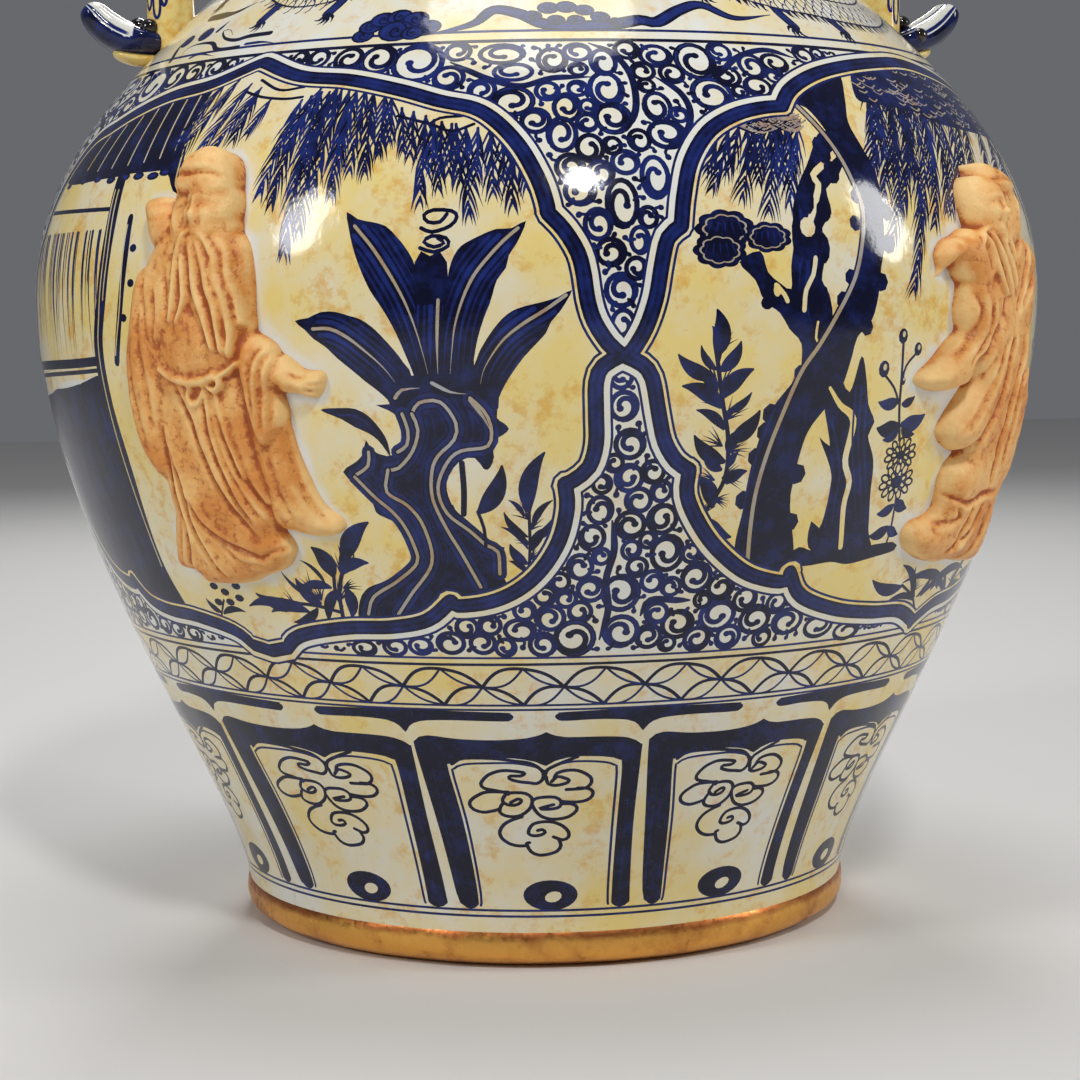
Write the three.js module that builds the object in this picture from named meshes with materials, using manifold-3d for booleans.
// A large two-handled storage jar in millimetres, +Z up. The origin is the centre of the foot's standing edge.
// The jar is built as the potter builds it: a turned foot ring, a base disc, two thrown wall sections that meet
// at the belly, a neck and a rolled lip, with two beast-headed loop handles on -X and +X and four press-moulded
// figures applied to the panels between them.
import * as THREE from "three";
import { mergeVertices } from "three/addons/utils/BufferGeometryUtils.js";
import Module from "manifold-3d";

const wasm = await Module();
wasm.setup();

// Foot ring and base
const footHeight = 14;
const footStandRadius = 108;
const footStandWidth = 8;
const footTopRadius = 120;
const footInnerRadius = 92;
const footBulge = 3;
const baseDiscRadius = 105;
const baseDiscThickness = 12;

// Thrown wall sections
const wallThickness = 9;
const bellyRadius = 197.25;
const bellyHeight = 244;
const shoulderTopRadius = 97;
const shoulderTopHeight = 388;
const footTangentHeight = 39.5; // the wall's curve handles: how long it follows each end's direction
const footTangentOut = 5;
const bellyTangentBelow = 91;
const bellyTangentAbove = 63.5;
const shoulderTangentOut = 40.5;
const shoulderTangentDown = 43;

// Neck and lip
const neckRadius = 92;
const neckWall = 9;
const neckHeight = 42;
const lipRadius = 102;
const lipHeight = 16;

// Handles
const loopDepth = 18.5; // across the loop's section, along the jar's radius
const loopWidth = 22; // across the loop's section, along the wall
const loopFootDrop = 38; // from the shoulder's top down to the loop's foot
const loopStandOff = 4.7; // from the wall out to the loop's centre line, at its foot
const loopStraight = 28;
const loopUnderLip = 18; // from the lip's underside down to the loop's centre, where it meets the neck
const headWidth = 24;
const headHeight = 13;
const headDrop = 5.3; // from the loop's foot down to the head's middle line
const snoutReach = 33; // from the loop's centre line out to the turned-up snout
const snoutRise = 8; // from the loop's foot up to the snout's tip
const snoutThickness = 11;
const eyeRadius = 3.4;
const eyeSpacing = 18;
const eyeAhead = 9.8; // from the loop's centre line out to the eyes
const jawThickness = 4;
const jawReach = 11.5; // out from the wall

// Applied figures
const figureReach = 13; // the thickest point of a figure, over the wall
const figureSink = 4; // how far a figure's forms go back into the wall before they are cut to it
const figureAngle = 45; // degrees from the jar's front to a panel's middle

// Fits
const seatGap = 0.3;
const wallSegments = 48;
const wallSteps = 9;
const insideSteps = 6;
const formSides = 10;
const loopSides = 14;

const glaze = () => new THREE.MeshStandardMaterial({ color: 0xe8e2cc, roughness: 0.12, metalness: 0 });
const cobalt = () => new THREE.MeshStandardMaterial({ color: 0x131c4d, roughness: 0.1, metalness: 0 });
const biscuit = () => new THREE.MeshStandardMaterial({ color: 0xd08a45, roughness: 0.75, metalness: 0 });
const gilt = () => new THREE.MeshStandardMaterial({ color: 0xb5792a, roughness: 0.35, metalness: 0.85 });

// Closed geometry to solid and back

function solidOf(geometry) {
  const bare = geometry.index ? geometry.toNonIndexed() : geometry.clone();
  for (const name of Object.keys(bare.attributes)) {
    if (name !== "position") bare.deleteAttribute(name);
  }
  const merged = mergeVertices(bare, 1e-4);
  const triangles = [];
  for (let i = 0; i < merged.index.count; i += 3) {
    const [a, b, c] = [0, 1, 2].map((k) => merged.index.getX(i + k));
    if (a !== b && b !== c && c !== a) triangles.push(a, b, c);
  }
  return new wasm.Manifold(
    new wasm.Mesh({
      numProp: 3,
      vertProperties: merged.attributes.position.array,
      triVerts: new Uint32Array(triangles),
    }),
  );
}

function geometryOf(solid) {
  const mesh = solid.getMesh();
  const geometry = new THREE.BufferGeometry();
  geometry.setAttribute("position", new THREE.BufferAttribute(new Float32Array(mesh.vertProperties), 3));
  geometry.setIndex(new THREE.BufferAttribute(new Uint32Array(mesh.triVerts), 1));
  geometry.computeVertexNormals();
  return geometry;
}

// A solid of revolution from an outline of [radius, height] points, listed anticlockwise
function revolve(outline) {
  const closed = [...outline, outline[0]].map(([radius, height]) => new THREE.Vector2(radius, height));
  return new THREE.LatheGeometry(closed, wallSegments).rotateX(Math.PI / 2);
}

// The jar's outside

const lowerCurve = new THREE.CubicBezierCurve(
  new THREE.Vector2(footTopRadius, footHeight),
  new THREE.Vector2(footTopRadius + footTangentOut, footHeight + footTangentHeight),
  new THREE.Vector2(bellyRadius, bellyHeight - bellyTangentBelow),
  new THREE.Vector2(bellyRadius, bellyHeight),
);
const upperCurve = new THREE.CubicBezierCurve(
  new THREE.Vector2(bellyRadius, bellyHeight),
  new THREE.Vector2(bellyRadius, bellyHeight + bellyTangentAbove),
  new THREE.Vector2(shoulderTopRadius + shoulderTangentOut, shoulderTopHeight - shoulderTangentDown),
  new THREE.Vector2(shoulderTopRadius, shoulderTopHeight),
);

// Direction of a wall curve, exact at its ends so that the two wall sections share a level seam
function curveDirection(curve, share) {
  const back = 1 - share;
  return curve.v1.clone().sub(curve.v0).multiplyScalar(back * back)
    .addScaledVector(curve.v2.clone().sub(curve.v1), 2 * back * share)
    .addScaledVector(curve.v3.clone().sub(curve.v2), share * share)
    .normalize();
}

// Points of a curve moved along its normal: outwards where the distance is positive
function offsetCurve(curve, distance, steps) {
  return Array.from({ length: steps + 1 }, (_, i) => {
    const point = curve.getPoint(i / steps);
    const direction = curveDirection(curve, i / steps);
    return [point.x + direction.y * distance, point.y - direction.x * distance];
  });
}

// The outer radius of the wall at a height
function wallRadius(height) {
  const curve = height < bellyHeight ? lowerCurve : upperCurve;
  let [low, high] = [0, 1];
  for (let i = 0; i < 24; i++) {
    const middle = (low + high) / 2;
    if (curve.getPoint(middle).y < height) low = middle;
    else high = middle;
  }
  return curve.getPoint(low).x;
}

const neckTop = shoulderTopHeight + neckHeight;
const lipInnerRadius = neckRadius - neckWall;

// Where a handle meets the jar, and how far its head stands out
const loopNeckHeight = neckTop - loopUnderLip;
const loopFootHeight = shoulderTopHeight - loopFootDrop;
const loopCentreRadius = wallRadius(loopFootHeight) + loopStandOff;
const snoutTipRadius = loopCentreRadius + snoutReach;
const snoutTipHeight = loopFootHeight + snoutRise;

function neckOutside(distance) {
  const flare = shoulderTopRadius - neckRadius;
  return [
    [shoulderTopRadius + distance, shoulderTopHeight],
    [neckRadius + flare * 0.35 + distance, shoulderTopHeight + flare],
    [neckRadius + distance, shoulderTopHeight + flare * 2.4],
    [neckRadius + distance, neckTop - flare],
    [neckRadius + flare * 0.4 + distance, neckTop],
  ];
}

// The whole outside as one solid, grown by the seat gap, that applied pieces are cut to
function wallCutter(distance) {
  const outline = [
    [0, footHeight],
    ...offsetCurve(lowerCurve, distance, wallSteps),
    ...offsetCurve(upperCurve, distance, wallSteps).slice(1, -1),
    ...neckOutside(distance),
    [0, neckTop],
  ];
  const points = outline.map(([radius, height]) => new THREE.Vector2(radius, height));
  return solidOf(new THREE.LatheGeometry(points, wallSegments).rotateX(Math.PI / 2));
}

// Thrown and turned pieces

function footRing() {
  const arc = Array.from({ length: 5 }, (_, i) => {
    const share = (i + 1) / 6;
    const radius = footStandRadius + (footTopRadius - footStandRadius) * Math.sin((share * Math.PI) / 2);
    return [radius + footBulge * Math.sin(share * Math.PI), footHeight * share];
  });
  return revolve([
    [footStandRadius - footStandWidth, 0],
    [footStandRadius, 0],
    ...arc,
    [footTopRadius, footHeight],
    [footInnerRadius, footHeight],
    [footInnerRadius, footHeight / 2],
  ]);
}

function baseDisc() {
  const points = [
    [0, footHeight],
    [baseDiscRadius, footHeight],
    [baseDiscRadius, footHeight + baseDiscThickness],
    [0, footHeight + baseDiscThickness],
  ];
  return new THREE.LatheGeometry(points.map(([r, h]) => new THREE.Vector2(r, h)), wallSegments).rotateX(Math.PI / 2);
}

function lowerBody() {
  const outside = offsetCurve(lowerCurve, 0, wallSteps);
  const seatRadius = baseDiscRadius + seatGap;
  const inside = offsetCurve(lowerCurve, -wallThickness, insideSteps)
    .filter(([, height]) => height > footHeight + baseDiscThickness * 1.6)
    .reverse();
  return revolve([...outside, ...inside, [seatRadius, footHeight + baseDiscThickness], [seatRadius, footHeight]]);
}

function shoulderSection() {
  const outside = offsetCurve(upperCurve, 0, wallSteps);
  const inside = offsetCurve(upperCurve, -wallThickness, insideSteps)
    .filter(([radius, height]) => height < shoulderTopHeight - wallThickness && radius > lipInnerRadius)
    .reverse();
  return revolve([...outside, [shoulderTopRadius - wallThickness, shoulderTopHeight], ...inside]);
}

function neck() {
  const inside = [
    [lipInnerRadius, neckTop],
    [lipInnerRadius, shoulderTopHeight + wallThickness],
    [shoulderTopRadius - wallThickness, shoulderTopHeight],
  ];
  return revolve([...neckOutside(0), ...inside]);
}

function mouthRim() {
  const middle = (lipRadius + lipInnerRadius) / 2;
  const halfWidth = (lipRadius - lipInnerRadius) / 2;
  const crown = Array.from({ length: 9 }, (_, i) => {
    const angle = (i / 8) * Math.PI;
    const swell = Math.sin(angle) ** 0.7;
    return [middle + halfWidth * Math.cos(angle), neckTop + lipHeight * (0.45 + 0.55 * swell)];
  });
  const under = neckRadius + (shoulderTopRadius - neckRadius) * 0.4;
  return revolve([[lipInnerRadius, neckTop], [under, neckTop], ...crown]);
}

// Lofted forms: rings of points round a path, closed at both ends

function loft(rings) {
  const sides = rings[0].length;
  const positions = rings.flat().flatMap((point) => [point.x, point.y, point.z]);
  const index = [];
  for (let ring = 0; ring + 1 < rings.length; ring++) {
    for (let side = 0; side < sides; side++) {
      const a = ring * sides + side;
      const b = ring * sides + ((side + 1) % sides);
      index.push(a, b, b + sides, a, b + sides, a + sides);
    }
  }
  const last = (rings.length - 1) * sides;
  for (let side = 1; side + 1 < sides; side++) {
    index.push(0, side + 1, side);
    index.push(last, last + side, last + side + 1);
  }
  const geometry = new THREE.BufferGeometry();
  geometry.setAttribute("position", new THREE.Float32BufferAttribute(positions, 3));
  geometry.setIndex(index);
  return geometry;
}

function facingOut(geometry) {
  const solid = solidOf(geometry);
  if (solid.volume() > 0) return solid;
  const turned = geometry.clone();
  const index = turned.index;
  for (let i = 0; i < index.count; i += 3) {
    const kept = index.getX(i + 1);
    index.setX(i + 1, index.getX(i + 2));
    index.setX(i + 2, kept);
  }
  return solidOf(turned);
}

// The given stations with more between them, each of their values on a smooth run
function smoothed(stations, steps) {
  const total = (stations.length - 1) * steps;
  const runs = stations[0].map(
    (_, value) => new THREE.SplineCurve(stations.map((station, i) => new THREE.Vector2(i, station[value]))),
  );
  return Array.from({ length: total + 1 }, (_, i) => runs.map((run) => run.getPoint(i / total).y));
}

// A rounded limb through stations [x, y, z, half width, half depth], its width lying along the given direction
function limb(stations, across, sides = formSides) {
  const places = stations.map(([x, y, z]) => new THREE.Vector3(x, y, z));
  const rings = stations.map(([, , , halfWidth, halfDepth], i) => {
    const ahead = places[Math.min(i + 1, places.length - 1)];
    const behind = places[Math.max(i - 1, 0)];
    const along = ahead.clone().sub(behind).normalize();
    const deep = across.clone().cross(along).normalize();
    return Array.from({ length: sides }, (_, k) => {
      const angle = (k / sides) * 2 * Math.PI;
      return places[i]
        .clone()
        .addScaledVector(across, Math.cos(angle) * halfWidth)
        .addScaledVector(deep, Math.sin(angle) * halfDepth);
    });
  });
  return facingOut(loft(rings));
}

// Handles, modelled on +X and turned half round for the other side

const tangent = new THREE.Vector3(0, 1, 0);
const wallSolid = wallCutter(seatGap);

function loopStations(grow) {
  const topRadius = loopCentreRadius - neckRadius;
  const bendHeight = loopFootHeight + loopStraight;
  const stations = [
    [loopCentreRadius, 0, loopFootHeight],
    [loopCentreRadius, 0, bendHeight],
  ];
  const rise = loopNeckHeight - bendHeight;
  for (let i = 1; i <= 8; i++) {
    const angle = (i / 8) * (Math.PI / 2);
    stations.push([
      loopCentreRadius - topRadius * (1 - Math.cos(angle)),
      0,
      bendHeight + rise * Math.sin(angle),
    ]);
  }
  stations.push([neckRadius - neckWall / 2, 0, loopNeckHeight]);
  return stations.map(([x, y, z]) => [x, y, z, loopWidth / 2 + grow, loopDepth / 2 + grow]);
}

function handleLoop() {
  const tube = limb(loopStations(0), tangent, loopSides);
  return tube.subtract(wallSolid);
}

function eyePlaces() {
  const x = loopCentreRadius + eyeAhead;
  return [-1, 1].map((side) => new THREE.Vector3(x, (side * eyeSpacing) / 2, loopFootHeight));
}

function ball(centre, radius) {
  return solidOf(new THREE.SphereGeometry(radius, 12, 8).translate(centre.x, centre.y, centre.z));
}

// The skull runs out from the wall and its snout turns up at the end
function skullStations() {
  const axis = loopFootHeight - headDrop;
  const root = wallRadius(axis);
  const [wide, tall, thick] = [headWidth / 2, headHeight / 2, snoutThickness / 2];
  return [
    [root - headHeight, 0, axis + tall * 0.5, wide * 0.68, tall * 0.84],
    [root - 1, 0, axis + tall * 0.15, wide * 0.95, tall],
    [root + headWidth * 0.28, 0, axis, wide, tall],
    [root + headWidth * 0.6, 0, axis, wide * 0.84, tall],
    [snoutTipRadius - thick * 1.65, 0, axis + tall * 0.4, thick * 1.24, thick * 1.12],
    [snoutTipRadius - thick, 0, (axis + snoutTipHeight) / 2 + 1, thick * 1.1, thick * 1.02],
    [snoutTipRadius - thick * 1.2, 0, snoutTipHeight - thick * 0.7, thick * 0.96, thick * 0.9],
    [snoutTipRadius - thick * 1.4, 0, snoutTipHeight, thick * 0.5, thick * 0.4],
  ];
}

function jawForm(grow) {
  const height = loopFootHeight - headDrop - headHeight / 2 - jawThickness * 0.2;
  const root = wallRadius(height);
  const half = jawThickness / 2;
  return limb(
    smoothed(
      [
        [root - jawReach * 0.5, 0, height, headWidth * 0.32 + grow, half + grow],
        [root + jawReach * 0.2, 0, height, headWidth * 0.34 + grow, half + grow],
        [root + jawReach * 0.65, 0, height, headWidth * 0.26 + grow, half * 0.9 + grow],
        [root + jawReach + grow, 0, height + half * 0.4, headWidth * 0.12 + grow, half * 0.45 + grow],
      ],
      2,
    ),
    tangent,
    formSides,
  );
}

function handleHead() {
  const socket = solidOf(
    new THREE.CylinderGeometry(loopWidth, loopWidth, headHeight, 24)
      .rotateX(Math.PI / 2)
      .translate(loopCentreRadius - loopWidth + loopDepth / 2 + 2, 0, loopFootHeight - seatGap + headHeight / 2),
  );
  const skull = limb(smoothed(skullStations(), 2), tangent, 12);
  let head = skull.subtract(wallSolid).subtract(socket).subtract(jawForm(seatGap));
  for (const place of eyePlaces()) head = head.subtract(ball(place, eyeRadius + seatGap));
  return largest(head);
}

function handleJaw() {
  return largest(jawForm(0).subtract(wallSolid));
}

function handleEye(place) {
  const loopSleeve = limb(loopStations(seatGap), tangent, loopSides);
  return largest(ball(place, eyeRadius).subtract(wallSolid).subtract(loopSleeve));
}

function largest(solid) {
  const bodies = solid.decompose();
  return bodies.reduce((best, body) => (body.volume() > best.volume() ? body : best));
}

// Applied figures. A figure lies on the wall in its own map: across the wall from the panel's middle, up from
// the belly seam, and out from the wall

function onWall(across, up, out, panelAngle) {
  const angle = THREE.MathUtils.degToRad(panelAngle) + across / bellyRadius;
  const radius = wallRadius(bellyHeight + up) + out;
  return new THREE.Vector3(radius * Math.sin(angle), -radius * Math.cos(angle), bellyHeight + up);
}

// Half round in front, flat behind: angles in degrees round a form's section
const sectionAngles = [0, 45, 90, 135, 180, 270];

// One pressed form through stations [across, up, half width, reach], its back sunk in the wall
function pressedForm(given, panelAngle) {
  const stations = smoothed(given, 2);
  const rings = stations.map(([across, up, halfWidth, reach], i) => {
    const [aheadAcross, aheadUp] = stations[Math.min(i + 1, stations.length - 1)];
    const [behindAcross, behindUp] = stations[Math.max(i - 1, 0)];
    const length = Math.hypot(aheadAcross - behindAcross, aheadUp - behindUp);
    const side = [(aheadUp - behindUp) / length, -(aheadAcross - behindAcross) / length];
    return sectionAngles.map((degrees) => {
      const angle = THREE.MathUtils.degToRad(degrees);
      const width = Math.cos(angle) * halfWidth;
      const out = Math.sin(angle) * (Math.sin(angle) > 0 ? reach : figureSink) - (Math.sin(angle) > 0.01 ? 0 : 1);
      return onWall(across + side[0] * width, up + side[1] * width, out, panelAngle);
    });
  });
  return facingOut(loft(rings));
}

function figure(forms, panelAngle) {
  const parts = forms.map((stations) => pressedForm(stations, panelAngle));
  const whole = parts.reduce((sum, part) => sum.add(part));
  return largest(whole.subtract(wallSolid));
}

const proud = figureReach * 1.12; // a fold, over the form that carries it
const deep = figureReach;
const middling = figureReach * 0.75;
const shallow = figureReach * 0.5;

// An elder in a tall hat with a long beard, a scroll on the shoulder and one hand held out
const elderForms = [
  [[4, 47, 7, shallow], [4, 40, 12, middling], [5, 29, 12, middling], [5, 22, 11, middling]],
  [[5, 32, 7, middling], [4, 24, 10, deep], [3, 14, 9, middling], [3, 8, 7, shallow]],
  [[-18, 35, 5, shallow], [-21, 28, 8, middling], [-24, 18, 8, middling], [-22, 6, 8, shallow]],
  [[2, 12, 24, middling], [0, -2, 30, deep], [-3, -18, 28, deep], [-3, -26, 27, middling]],
  [[-24, 10, 8, middling], [-29, -6, 9, middling], [-31, -28, 8, middling], [-30, -48, 7, shallow], [-28, -66, 5, shallow]],
  [[-4, -22, 25, middling], [-3, -44, 27, deep], [-2, -66, 27, deep], [0, -84, 30, middling], [0, -96, 26, shallow]],
  [[16, 6, 9, middling], [24, -8, 10, deep], [31, -20, 9, deep], [38, -27, 5, middling]],
  [[35, -26, 6, middling], [42, -29, 5, middling], [50, -32, 3, shallow]],
  [[30, -22, 9, deep], [33, -38, 8, middling], [35, -56, 8, middling], [41, -71, 7, shallow], [50, -77, 3, shallow]],
  [[20, -78, 8, shallow], [25, -86, 9, middling], [31, -89, 5, shallow]],
  [[-14, 10, 4, proud], [-18, -14, 4, proud], [-16, -36, 3, deep]],
  [[-12, -34, 3, proud], [-10, -60, 3, proud], [2, -84, 3, deep], [12, -92, 2, middling]],
  [[4, -32, 3, proud], [8, -58, 3, proud], [18, -82, 3, deep]],
];

// A companion turned aside with both hands raised and two long falling sleeves
const companionForms = [
  [[-6, 43, 8, shallow], [-5, 36, 11, middling], [-4, 24, 11, deep], [-2, 12, 8, middling]],
  [[2, 16, 20, middling], [4, 0, 26, deep], [6, -20, 25, deep], [6, -38, 25, middling]],
  [[-2, 6, 8, middling], [-14, 0, 8, deep], [-26, 8, 7, deep], [-34, 16, 5, middling]],
  [[-30, 16, 6, middling], [-40, 12, 6, middling], [-47, 6, 4, shallow]],
  [[-28, 12, 7, middling], [-27, -4, 9, deep], [-34, -20, 9, middling], [-46, -30, 7, shallow], [-54, -33, 3, shallow]],
  [[4, -4, 9, deep], [-2, -22, 10, deep], [-12, -38, 10, deep], [-25, -49, 9, middling], [-35, -54, 5, shallow]],
  [[6, -32, 23, deep], [2, -48, 24, deep], [-4, -66, 27, deep], [-8, -84, 28, middling], [-6, -97, 24, shallow]],
  [[20, 0, 9, middling], [26, -22, 9, middling], [26, -48, 8, shallow], [20, -72, 7, shallow]],
  [[-24, -80, 8, middling], [-33, -88, 8, middling], [-40, -92, 4, shallow]],
  [[16, 16, 4, proud], [18, -12, 4, proud], [12, -44, 3, deep]],
  [[8, -36, 3, proud], [4, -60, 3, proud], [-6, -84, 3, deep]],
];

// The assembly

const jar = new THREE.Group();

function place(name, geometry, material, group = jar) {
  const mesh = new THREE.Mesh(geometry, material);
  mesh.name = name;
  group.add(mesh);
  return mesh;
}

place("foot_ring", footRing(), gilt());
place("base_disc", baseDisc(), glaze());
place("lower_body", lowerBody(), glaze());
place("shoulder_section", shoulderSection(), glaze());
place("neck", neck(), glaze());
place("mouth_rim", mouthRim(), glaze());

for (const [side, turn] of [["right", 0], ["left", Math.PI]]) {
  const handle = new THREE.Group();
  handle.rotation.z = turn;
  jar.add(handle);
  place(side + "_handle_loop", geometryOf(largest(handleLoop())), glaze(), handle);
  place(side + "_handle_head", geometryOf(handleHead()), cobalt(), handle);
  place(side + "_handle_jaw", geometryOf(handleJaw()), glaze(), handle);
  eyePlaces().forEach((spot, i) => {
    place(side + "_handle_eye_" + (i + 1), geometryOf(handleEye(spot)), cobalt(), handle);
  });
}

// The back half of the jar repeats the front half
for (const [elderName, companionName, turn] of [
  ["figure_front_left", "figure_front_right", 0],
  ["figure_back_right", "figure_back_left", Math.PI],
]) {
  const pair = new THREE.Group();
  pair.rotation.z = turn;
  jar.add(pair);
  place(elderName, geometryOf(figure(elderForms, -figureAngle)), biscuit(), pair);
  place(companionName, geometryOf(figure(companionForms, figureAngle)), biscuit(), pair);
}

export default jar;
